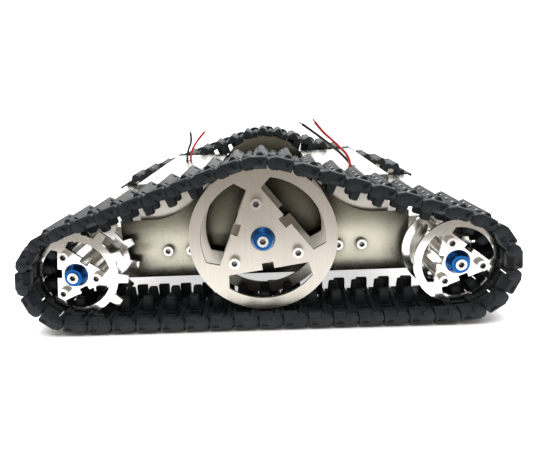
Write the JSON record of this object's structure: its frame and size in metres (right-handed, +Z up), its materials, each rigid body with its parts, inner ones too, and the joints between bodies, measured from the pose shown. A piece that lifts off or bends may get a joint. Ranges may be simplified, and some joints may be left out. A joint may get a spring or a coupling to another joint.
{
  "type": "tracked robot chassis",
  "caption": "Tracked robot chassis with triangular track loops, a toothed sprocket, a plain idler and a large centre wheel on each side, folded-metal body and bare motor leads.",
  "frame": {"origin": "on the ground, under the middle of the chassis", "axes": "+X along travel, towards the near side's idler; +Y across, towards the far track; +Z up"},
  "size_m": [0.318, 0.294, 0.1238],
  "materials": {
    "panel_steel": "brushed along its length",
    "polished_sheet": "bright, nearly polished",
    "end_wheel_nickel": "bright polished nickel",
    "centre_wheel_aluminium": "satin, fine turned lines",
    "turned_metal": "turned",
    "screw_nickel": "nickel plate",
    "blue_anodised": "anodised, satin",
    "ground_steel": "ground",
    "track_plastic": "moulded, slightly glossy",
    "motor_zinc": "zinc plate",
    "wire_black": "extruded insulation",
    "wire_red": "extruded insulation"
  },
  "bodies": {
    "chassis": {"end_brackets": "polished_sheet", "far_side_panel": "panel_steel", "far_track_links": "track_plastic", "floor_pan": "panel_steel", "gearboxes": "turned_metal", "left_lead_black": "wire_black", "left_lead_red": "wire_red", "main_deck": "panel_steel", "motor_cans": "motor_zinc", "near_side_panel": "panel_steel", "near_track_links": "track_plastic", "panel_screws": "screw_nickel", "right_lead_black": "wire_black", "right_lead_red": "wire_red", "stub_axles": "turned_metal", "top_covers": "polished_sheet", "track_pins": "ground_steel"},
    "near_sprocket": {"near_sprocket_outer_plate": "end_wheel_nickel", "near_sprocket_inner_plate": "end_wheel_nickel", "near_sprocket_spacers": "turned_metal", "near_sprocket_screws": "screw_nickel", "near_sprocket_cup_washer": "blue_anodised", "near_sprocket_hub": "turned_metal", "near_sprocket_drive_shaft": "ground_steel"},
    "near_idler": {"near_idler_outer_plate": "end_wheel_nickel", "near_idler_inner_plate": "end_wheel_nickel", "near_idler_spacers": "turned_metal", "near_idler_screws": "screw_nickel", "near_idler_cup_washer": "blue_anodised", "near_idler_hub": "turned_metal", "near_idler_bearings": "ground_steel"},
    "near_centre": {"near_centre_outer_plate": "centre_wheel_aluminium", "near_centre_inner_plate": "centre_wheel_aluminium", "near_centre_spacers": "turned_metal", "near_centre_screws": "screw_nickel", "near_centre_cup_washer": "blue_anodised", "near_centre_hub": "turned_metal", "near_centre_bearings": "ground_steel"},
    "far_sprocket": {"far_sprocket_outer_plate": "end_wheel_nickel", "far_sprocket_inner_plate": "end_wheel_nickel", "far_sprocket_spacers": "turned_metal", "far_sprocket_screws": "screw_nickel", "far_sprocket_cup_washer": "blue_anodised", "far_sprocket_hub": "turned_metal", "far_sprocket_drive_shaft": "ground_steel"},
    "far_idler": {"far_idler_outer_plate": "end_wheel_nickel", "far_idler_inner_plate": "end_wheel_nickel", "far_idler_spacers": "turned_metal", "far_idler_screws": "screw_nickel", "far_idler_cup_washer": "blue_anodised", "far_idler_hub": "turned_metal", "far_idler_bearings": "ground_steel"},
    "far_centre": {"far_centre_outer_plate": "centre_wheel_aluminium", "far_centre_inner_plate": "centre_wheel_aluminium", "far_centre_spacers": "turned_metal", "far_centre_screws": "screw_nickel", "far_centre_cup_washer": "blue_anodised", "far_centre_hub": "turned_metal", "far_centre_bearings": "ground_steel"}
  },
  "joints": [
    {"name": "near_sprocket_spin", "type": "hinge", "parent": "chassis", "child": "near_sprocket", "pos_m": [-0.12328, -0.1155, 0.0368], "axis": [0, 1, 0], "continuous": true, "deforming": ["near_track_links", "track_pins"]},
    {"name": "near_idler_spin", "type": "hinge", "parent": "chassis", "child": "near_idler", "pos_m": [0.12328, -0.1155, 0.0368], "axis": [0, 1, 0], "continuous": true},
    {"name": "near_centre_spin", "type": "hinge", "parent": "chassis", "child": "near_centre", "pos_m": [0, -0.1155, 0.0565], "axis": [0, 1, 0], "continuous": true},
    {"name": "far_sprocket_spin", "type": "hinge", "parent": "chassis", "child": "far_sprocket", "pos_m": [0.12328, 0.1155, 0.0368], "axis": [0, 1, 0], "continuous": true, "deforming": ["far_track_links"]},
    {"name": "far_idler_spin", "type": "hinge", "parent": "chassis", "child": "far_idler", "pos_m": [-0.12328, 0.1155, 0.0368], "axis": [0, 1, 0], "continuous": true},
    {"name": "far_centre_spin", "type": "hinge", "parent": "chassis", "child": "far_centre", "pos_m": [0, 0.1155, 0.0565], "axis": [0, 1, 0], "continuous": true}
  ],
  "couplings": [
    {"joint": "near_idler_spin", "follows": "near_sprocket_spin", "ratio": 1},
    {"joint": "near_centre_spin", "follows": "near_sprocket_spin", "ratio": 0.60757},
    {"joint": "far_idler_spin", "follows": "far_sprocket_spin", "ratio": 1},
    {"joint": "far_centre_spin", "follows": "far_sprocket_spin", "ratio": 0.60757}
  ]
}
